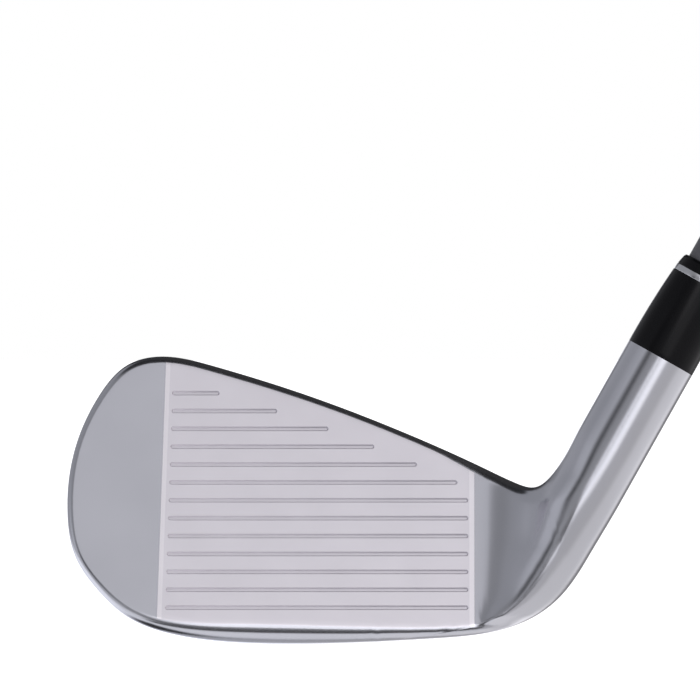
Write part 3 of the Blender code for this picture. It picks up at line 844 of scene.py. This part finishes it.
def buildBadge():
    # A raised rim round a sunken field, with slanting ribs across its toe end.
    bm = plate(cavity["corners"], cavity["cornerR"], badge["inset"], badgeNear, badgeFar,
               badge["edge"])
    top = min(bm.faces, key=lambda f: f.calc_center_median().z)
    bmesh.ops.inset_region(bm, faces=[top], thickness=badge["rim"], depth=0.0)
    bmesh.ops.inset_region(bm, faces=[top], thickness=badge["edge"], depth=-badge["sunken"])
    level = top.calc_center_median().z

    def field():
        return [f for f in bm.faces
                if f.normal.z < -0.99 and abs(f.calc_center_median().z - level) < 0.01]

    way = Vector((1, badge["slant"], 0)).normalized()
    first = Vector((*badge["firstRib"], 0))
    pitch, half = badge["ribPitch"] * way.x, badge["ribWide"] / 2 * way.x
    for k in range(badge["ribs"]):
        for edge in (-half, half):
            cutAcross(bm, field(), first + way * (k * pitch + edge), way)
    for face in field():
        away = (face.calc_center_median() - first).dot(way)
        k = round(away / pitch)
        if 0 <= k < badge["ribs"] and abs(away - k * pitch) < half:
            bmesh.ops.inset_region(bm, faces=[face], thickness=0.1, depth=0.2)
        else:
            face.material_index = 1
    return bm


makePiece("cavityBadge", buildBadge(), [anodised, anodisedField], "cavity_badge",
          faceToRow)


# Ferrule: turned black acetate, buffed until it shines, with a little waviness from the buffing.
ferruleBlack = plastic("buffed black acetate", shaftToRow, {
    "colours": ("#0A0A0C", "#0D0D0F"), "cloud": 10, "grain": (2.0, 2.0, 9.0),
    "roughness": (0.2, 0.26), "depth": 0.01, "strength": 0.08, "specular": 0.13,
})
# Trim ring: turned aluminium, bright, with cutter marks running round it.
ringSilver = metal("turned aluminium ring", shaftToRow, {
    "colours": ("#C9CACD", "#D0D1D4"), "cloud": 5, "grain": (3.0, 3.0, 0.1),
    "roughness": (0.14, 0.2), "depth": 0.004, "strength": 0.15,
})


# Heights above its base. The joints are drawn tight, so that no light shows through them.
ferrule = {"ring": 15.7, "cap": 16.9, "top": 19.1, "joint": 0.01, "edge": 0.12, "taper": 0.77}


def ferruleR(up):
    return club["hoselR"] - ferrule["taper"] * (up / 16.7) ** 2.2


bore = club["tipR"] + club["glue"]
base = club["hoselTop"] + ferrule["joint"]
sleeveTop = base + ferrule["ring"]
side = [(ferruleR(up), base + up) for up in np.linspace(15.2, 1.0, 18)]
sleeve = softened([(ferruleR(ferrule["ring"]), sleeveTop, ferrule["edge"]), *side,
                   (ferruleR(0.0), base, 0.05), (bore, base), (bore, sleeveTop)])
makePiece("ferruleSleeve", turned(sleeve), [ferruleBlack], "ferrule_sleeve",
          shaftToRow)
ringLow, ringHigh = sleeveTop + ferrule["joint"], base + ferrule["cap"]
ring = softened([(ferruleR(16.9), ringHigh, ferrule["edge"]),
                 (ferruleR(15.8), ringLow, ferrule["edge"]),
                 (bore, ringLow), (bore, ringHigh)])
makePiece("ferruleRing", turned(ring), [ringSilver], "ferrule_ring", shaftToRow)
capLow, capHigh = ringHigh + ferrule["joint"], base + ferrule["top"]
cap = softened([(bore + 0.05, capHigh), (5.3, capHigh - 0.12), (5.55, capHigh - 0.55, 0.5),
                (ferruleR(17.0), capLow, ferrule["edge"]), (bore, capLow), (bore, capHigh - 0.05)])
makePiece("ferruleCap", turned(cap), [ferruleBlack], "ferrule_cap", shaftToRow)
print("ferrule done")


# Shaft: carbon tube, centreless ground and sprayed with a satin grey lacquer.
lacquer = plastic("satin grey lacquer", shaftToRow, {
    "colours": ("#4C4C50", "#505054"), "cloud": 20, "grain": (0.4, 0.4, 0.4),
    "roughness": (0.34, 0.42), "depth": 0.006, "strength": 0.15, "specular": 0.3,
})
# Swing weight: brass rod, sawn and deburred.
brass = metal("cut brass", shaftToRow, {
    "colours": ("#B08D4A", "#BB9853"), "cloud": 5, "grain": (0.5, 0.5, 2.0),
    "roughness": (0.22, 0.3), "depth": 0.005, "strength": 0.2,
})
# Grip tape: creped paper with glue on both faces, wound on dry.
paperTape = plastic("creped paper tape", shaftToRow, {
    "colours": ("#C6B68C", "#D2C298"), "cloud": 8, "grain": (1.5, 1.5, 0.6),
    "roughness": (0.8, 0.9), "depth": 0.05, "strength": 0.5,
})


band = {"low": 628.0, "high": 686.0, "film": 0.15, "lineFromMiddle": 24.5, "halfLine": 0.6}


def bandFilm():
    # Printed polyester film with a gloss face, plain but for a thin line near each end.
    material, tree, shader = newMaterial("printed film", Coat_Weight=0.5, Coat_Roughness=0.1,
                                         Roughness=0.3)
    space = patternSpace(tree, shaftToRow, (1.0, 1.0, 1.0))
    along = addNode(tree, "ShaderNodeSeparateXYZ", {"Vector": space}).outputs["Z"]
    fromMiddle = compute(tree, "SUBTRACT", along, (band["low"] + band["high"]) / 2)
    onLine = addNode(tree, "ShaderNodeMath", {
        0: compute(tree, "ABSOLUTE", fromMiddle), 1: band["lineFromMiddle"], 2: band["halfLine"],
    }, operation="COMPARE").outputs[0]
    cloud = noise(tree, patternSpace(tree, shaftToRow, (15, 15, 15)))
    body = tint(tree, cloud, "#26272B", "#2B2C30")
    lined = addNode(tree, "ShaderNodeMix", {
        "Factor": onLine, 6: body, 7: linear("#B9BABD"),
    }, data_type="RGBA").outputs[2]
    tree.links.new(lined, shader.inputs["Base Color"])
    return material


def shaftR(along):
    start = shaft["tip"] + shaft["tipParallel"]
    share = (along - start) / (shaft["buttParallel"] - start)
    return club["tipR"] + (club["buttR"] - club["tipR"]) * min(max(share, 0), 1)


gripCapThick = 4.0
butt = club["length"] - gripCapThick - club["seam"]
tipEnd, buttStart = shaft["tip"] + shaft["tipParallel"], shaft["buttParallel"]
tube = softened([
    (club["buttR"], butt, 0.3), (club["buttR"], buttStart), (club["tipR"], tipEnd),
    (club["tipR"], shaft["tip"], 0.4), (shaft["tipBore"], shaft["tip"], 0.2),
    (shaft["tipBore"], tipEnd), (shaft["buttBore"], buttStart), (shaft["buttBore"], butt, 0.2),
])
makePiece("shaftTube", turned(tube), [lacquer], "shaft", shaftToRow, sharp=40)
lowR, highR = (shaftR(band[end]) + club["seam"] for end in ("low", "high"))
wound = softened([
    (highR + band["film"], band["high"], 0.05), (lowR + band["film"], band["low"], 0.05),
    (lowR, band["low"]), (highR, band["high"]),
])
makePiece("shaftBand", turned(wound), [bandFilm()], "shaft_band", shaftToRow)
for node, material in (("tip_weight", brass), ("grip_tape", paperTape)):
    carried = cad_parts[node]
    carried.data.materials.clear()
    carried.data.materials.append(material)
print("shaft done")


# Grip: compression-moulded rubber, matt black, its tone drifting a little at random.
gripRubber = plastic("moulded grip rubber", shaftToRow, {
    "colours": ("#161617", "#1C1C1D"), "cloud": 12, "grain": (0.5, 0.5, 0.5),
    "roughness": (0.68, 0.8), "depth": 0.03, "strength": 0.35,
})
grip = {
    "length": 266.0,
    "bore": club["buttR"] + club["seam"] + 0.3 + club["seam"],
    # radius, and how far down from the top
    "outer": [(13.2, 0), (13.35, 3), (12.9, 9), (12.2, 28), (11.7, 60), (11.2, 120), (10.6, 190),
              (9.9, 245), (9.6, 262), (9.2, 265.2)],
    "around": 48,
    "cell": 1.5,
    "plain": (5.0, 258.0),  # the pits lie between these places
    "diamond": (24, 12, 6),  # rows and columns from one to the next, and the cells between its lines
    "pitDeep": 0.28,
    "pitEdge": 0.26,
    "pitSlope": 0.12,
}


def gripR(down):
    radii, places = zip(*grip["outer"])
    return np.interp(down, places, radii)


def gripRings():
    # Rounded over at the top, one row for each cell, and rounded in at the mouth.
    rows = [0.0, 0.25, 0.8, 3.0, *np.arange(3.0 + grip["cell"], 262.0, grip["cell"]),
            262.0, 264.0, 265.2, 265.7]
    radii = [13.0, 13.15, gripR(0.8), *[gripR(d) for d in rows[3:-3]], 9.45, 9.2, 8.85]
    angles = [2 * math.pi * c / grip["around"] for c in range(grip["around"])]
    return [[(radius * math.cos(a), radius * math.sin(a), butt - down) for a in angles]
            for down, radius in zip(rows, radii)]


def pitted(faces):
    # Every cell of the grip's side but those on the lines of the diamonds.
    rows, columns, lattice = grip["diamond"]
    first, last = grip["plain"]
    pits = []
    for f in faces:
        centre = f.calc_center_median()
        down = butt - centre.z
        if not first < down < last or math.hypot(centre.x, centre.y) < 9.0:
            continue
        turn = (math.atan2(centre.y, centre.x) % (2 * math.pi)) / (2 * math.pi)
        row = round((down - 3.0) / grip["cell"] - 0.5)
        column = round(turn * grip["around"] - 0.5)
        fromRow = abs((row + rows // 2) % rows - rows // 2)
        fromColumn = abs((column + columns // 2) % columns - columns // 2)
        if (fromRow + fromColumn) % lattice != 0:
            pits.append(f)
    return pits


def buildGrip():
    bm = wrapped(gripRings())
    ends = [e for e in bm.edges if e.is_boundary]
    boreEdges = []
    for along in (butt, butt - grip["length"]):
        made = bmesh.ops.create_circle(bm, cap_ends=False, segments=grip["around"],
                                       radius=grip["bore"], matrix=Matrix.Translation((0, 0, along)))
        boreEdges.append(edgesWithin(bm, made["verts"]))
    middle = butt - grip["length"] / 2
    top = [e for e in ends if e.verts[0].co.z > middle]
    mouth = [e for e in ends if e.verts[0].co.z < middle]
    bmesh.ops.bridge_loops(bm, edges=top + boreEdges[0])
    bmesh.ops.bridge_loops(bm, edges=mouth + boreEdges[1])
    bmesh.ops.bridge_loops(bm, edges=boreEdges[0] + boreEdges[1])
    bmesh.ops.recalc_face_normals(bm, faces=bm.faces)
    pits = pitted(bm.faces)
    bmesh.ops.inset_individual(bm, faces=pits, thickness=grip["pitEdge"], depth=0.0)
    bmesh.ops.inset_individual(bm, faces=pits, thickness=grip["pitSlope"], depth=-grip["pitDeep"])
    return bm


makePiece("gripSleeve", buildGrip(), [gripRubber], "grip_sleeve", shaftToRow,
          sharp=35)
vent = 1.75
capBottom = butt + club["seam"]
capTop = club["length"]
buttCap = softened([
    (13.15, capBottom + 0.3), (13.05, capTop - 1.9), (12.3, capTop - 0.6, 0.8), (11.0, capTop, 1.0),
    (9.4, capTop), (9.25, capTop - 0.3), (8.5, capTop - 0.3), (8.35, capTop), (vent, capTop, 0.35),
    (vent, capBottom), (12.95, capBottom),
])
makePiece("gripCap", turned(buttCap), [gripRubber], "grip_cap", shaftToRow)
print("grip done")


# Light

# Soft panels round the club, each laid over the ones before it, as (left, right, low, high, light, soft).
# Bearings in degrees: 0 is in front of the face, 90 towards the hands. Heights are above the horizon.
panels = [
    # walls and the white sweep under them
    (-180, 180, -90, -2, 0.98, 3),
    (-180, -48, -2, 30, 0.46, 6),
    (-84, -48, -2, 28, 0.64, 6),
    (-180, -48, 30, 62, 0.40, 6),
    (50, 180, -2, 60, 0.95, 8),
    (90, 160, -60, 30, 1.28, 10),
    (-150, -65, -42, -2, 1.30, 8),
    (-180, -156, -42, 8, 1.35, 4),
    (150, 180, -42, 8, 1.35, 4),
    # right of the lens, below the horizon
    (12, 72, -50, -2, 0.62, 7),
    # the soft box over the camera, which the face mirrors
    (-24, 60, 24, 61, 0.72, 5),
    (22, 60, 18, 61, 1.25, 6),
    (16, 58, -2, 24, 1.60, 6),
    # the gap between the soft box and the left wall
    (-46, -28, 8, 26, 0.08, 5),
    (-60, -26, -14, 6, 0.62, 4),
    (-50, -26, 26, 62, 0.34, 6),
    (-28, -8, -6, 24, 0.36, 5),
    # the bright strip at the lens and its tail to the right
    (-6, 13, -1, 28, 1.65, 2),
    (3, 21, -12, 1, 1.65, 3),
    # the dark edge behind the hosel, and the floor towards the hands
    (140, 172, -26, -3, 0.30, 3),
    (62, 150, -62, -24, 0.82, 8),
    # the camera's dark front below the horizon
    (-18, 1, -7, 0, 0.10, 2),
    (-18, 5, -13, -6, 0.12, 3),
    (-18, 14, -23, -12, 0.09, 3),
    (-26, 16, -37, -22, 0.06, 3),
    # the dark gap under the club, to the left and behind
    (-152, -36, -86, -52, 0.05, 6),
    (152, 180, -90, -44, 0.55, 6),
    (-180, -152, -90, -44, 0.55, 6),
    # the ceiling, and the dark above the background
    (-180, 180, 63, 90, 0.03, 3),
    (-180, -148, 14, 90, 0.05, 5),
    (120, 180, 14, 90, 0.05, 5),
]


def buildWorld():
    # The panels by direction. The camera itself sees plain white.
    world = bpy.data.worlds.new("studio")
    bpy.context.scene.world = world
    world.use_nodes = True
    tree = world.node_tree
    tree.nodes.clear()
    way = addNode(tree, "ShaderNodeTexCoord", {}).outputs["Generated"]
    parts = addNode(tree, "ShaderNodeSeparateXYZ", {"Vector": way}).outputs
    toFront = compute(tree, "MULTIPLY", parts["Y"], -1.0)
    toDegrees = 180 / math.pi
    bearing = compute(tree, "MULTIPLY", compute(tree, "ARCTAN2", parts["X"], toFront), toDegrees)
    height = compute(tree, "MULTIPLY", compute(tree, "ARCSINE", parts["Z"]), toDegrees)
    light = 0.4
    for left, right, low, high, strength, soft in panels:
        sides = [
            spread(tree, bearing, 0, 1, left - soft, left + soft) if left > -180 else 1.0,
            spread(tree, bearing, 1, 0, right - soft, right + soft) if right < 180 else 1.0,
            spread(tree, height, 0, 1, low - soft, low + soft) if low > -90 else 1.0,
            spread(tree, height, 1, 0, high - soft, high + soft) if high < 90 else 1.0,
        ]
        mask = 1.0
        for side in sides:
            if side != 1.0:
                mask = side if mask == 1.0 else compute(tree, "MULTIPLY", mask, side)
        light = addNode(tree, "ShaderNodeMix", {0: mask, 2: light, 3: strength}).outputs[0]
    # The left side is a little cooler than the right.
    toRight = spread(tree, bearing, 0, 1, -70, 60)
    cast = tint(tree, toRight, "#F6F7FF", "#FCFAFC")
    toCamera = addNode(tree, "ShaderNodeLightPath", {}).outputs["Is Camera Ray"]
    seen = addNode(tree, "ShaderNodeBackground", {"Color": (1, 1, 1, 1), "Strength": 1.0})
    lit = addNode(tree, "ShaderNodeBackground", {"Color": cast, "Strength": light})
    either = addNode(tree, "ShaderNodeMixShader", {
        0: toCamera, 1: lit.outputs[0], 2: seen.outputs[0],
    })
    addNode(tree, "ShaderNodeOutputWorld", {"Surface": either.outputs[0]})


buildWorld()


def buildSoftBox():
    # A near soft box, low and a little to the right. Being close, it brightens the face's lower right.
    light = bpy.data.lights.new("softBox", "AREA")
    light.shape, light.size, light.energy = "DISK", 0.16, 0.08
    light.color = linear("#FFFBFF")[:3]
    obj = bpy.data.objects.new("softBox", light)
    bpy.context.scene.collection.objects.link(obj)
    bearing, height, away = math.radians(12), math.radians(23), 0.45
    way = Vector((math.sin(bearing) * math.cos(height), -math.cos(bearing) * math.cos(height),
                  math.sin(height)))
    middle = Vector((0.005, -0.004, 0.02))
    obj.location = middle + way * away
    obj.rotation_euler = way.to_track_quat("Z", "Y").to_euler()
    obj.visible_camera = False


buildSoftBox()


def buildFloor():
    # A matt white sheet, lit from below like a light table, so that only a faint shadow shows.
    bm = bmesh.new()
    bmesh.ops.create_grid(bm, x_segments=1, y_segments=1, size=150)
    obj = meshObject("floor", bm)
    obj.location.z = -0.5 * mm
    material, tree, shader = newMaterial("white sheet", Roughness=0.9, Emission_Strength=0.9)
    shader.inputs["Base Color"].default_value = linear("#F4F4F4")
    shader.inputs["Emission Color"].default_value = linear("#FFFFFF")
    obj.data.materials.append(material)
    obj.visible_glossy = False


buildFloor()


def buildCamera():
    # A long lens, level with the middle of the head.
    camera = bpy.data.objects.new("camera", bpy.data.cameras.new("camera"))
    bpy.context.scene.collection.objects.link(camera)
    distance, width = 5.4, 0.1296
    camera.data.sensor_width = 36.0
    camera.data.lens = 36.0 * distance / width
    camera.location = (0.0126, -distance, 0.0545)
    camera.rotation_euler = (math.pi / 2, 0, 0)
    camera.data.clip_start, camera.data.clip_end = 0.1, 400
    bpy.context.scene.camera = camera


buildCamera()
bpy.context.scene.view_settings.view_transform = "Standard"
print("scene done")
